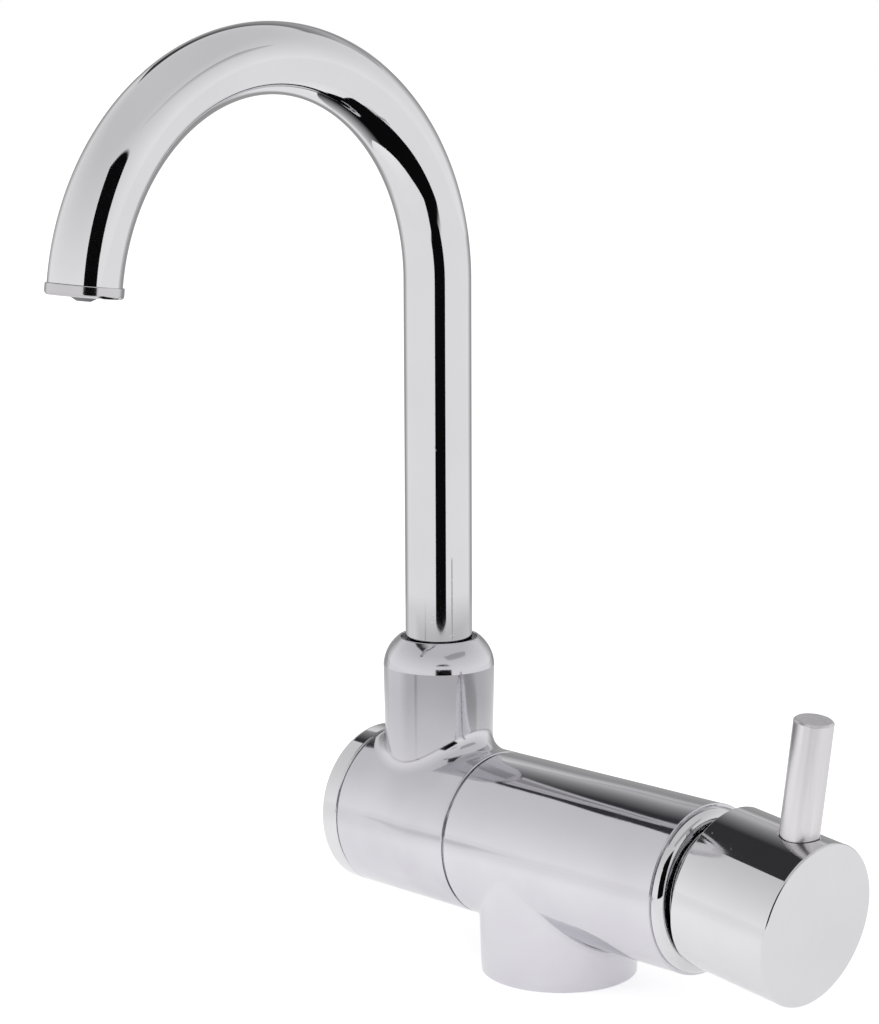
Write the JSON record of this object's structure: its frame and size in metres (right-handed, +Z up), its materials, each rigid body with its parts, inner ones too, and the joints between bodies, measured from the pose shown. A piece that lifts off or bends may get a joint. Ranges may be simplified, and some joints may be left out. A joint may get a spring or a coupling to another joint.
{
  "type": "kitchen mixer tap",
  "caption": "Folding single-lever kitchen mixer tap: horizontal round barrel on a short stem, swivelling swan-neck spout on an elbow block, and an end knob with a round lever pin.",
  "frame": {"origin": "centre of the stem's foot on the worktop", "axes": "+Z up, +X along the barrel towards the knob, the spout reaches towards -Y where the user stands"},
  "size_m": [0.1563, 0.1496, 0.2476],
  "materials": {
    "polished_chrome": "polished",
    "aerator_chrome": "satin",
    "satin_steel": "brushed lengthwise",
    "machined_brass": "turned",
    "plain_steel": "machined",
    "black_rubber": "matt",
    "white_plastic": "matt",
    "grey_plastic": "matt",
    "cartridge_plastic": "matt",
    "ceramic": "lapped"
  },
  "bodies": {
    "body": {"body_casting": "polished_chrome", "deck_seal": "black_rubber", "pivot_spindle": "machined_brass", "spindle_sealing_rings": "black_rubber", "thrust_washer": "white_plastic", "friction_washer": "white_plastic", "disc_spring": "plain_steel", "spindle_nut": "machined_brass", "cartridge_base": "cartridge_plastic", "cartridge_port_seals": "black_rubber", "fixed_ceramic_disc": "ceramic", "cartridge_housing": "cartridge_plastic", "cartridge_lock_nut": "machined_brass", "bezel_ring": "polished_chrome"},
    "elbow": {"elbow_block": "polished_chrome", "end_cap": "polished_chrome", "spout_guide_ring": "white_plastic", "spout_retaining_screw": "plain_steel"},
    "spout": {"spout_tube": "polished_chrome", "spout_ferrule": "machined_brass", "spout_sealing_rings": "black_rubber", "aerator_housing": "aerator_chrome", "aerator_insert": "grey_plastic", "aerator_strainer": "plain_steel", "aerator_washer": "black_rubber"},
    "rotor": {"cartridge_rotor": "cartridge_plastic", "lever_pivot_pin": "plain_steel"},
    "lever": {"cartridge_lever": "plain_steel", "handle_knob": "polished_chrome", "handle_pin": "satin_steel", "handle_pin_stud": "plain_steel", "knob_grub_screw": "plain_steel"},
    "disc": {"moving_ceramic_disc": "ceramic", "disc_carrier": "white_plastic"}
  },
  "joints": [
    {"name": "fold", "type": "hinge", "parent": "body", "child": "elbow", "pos_m": [0, 0, 0.0324], "axis": [1, 0, 0], "range_deg": [-90, 90]},
    {"name": "spout_swivel", "type": "hinge", "parent": "elbow", "child": "spout", "pos_m": [-0.0445, 0, 0.0324], "axis": [0, 0, 1], "continuous": true},
    {"name": "temperature", "type": "hinge", "parent": "body", "child": "rotor", "pos_m": [0.072, 0, 0.0324], "axis": [1, 0, 0], "range_deg": [-45, 45]},
    {"name": "flow", "type": "hinge", "parent": "rotor", "child": "lever", "pos_m": [0.072, 0, 0.0324], "axis": [0, -1, 0], "range_deg": [0, 15]},
    {"name": "disc_slide", "type": "slide", "parent": "rotor", "child": "disc", "axis": [0, 0, -1], "range_m": [0, 0.0066]}
  ],
  "couplings": [
    {"joint": "disc_slide", "follows": "flow", "m_per_rad": 0.025}
  ]
}
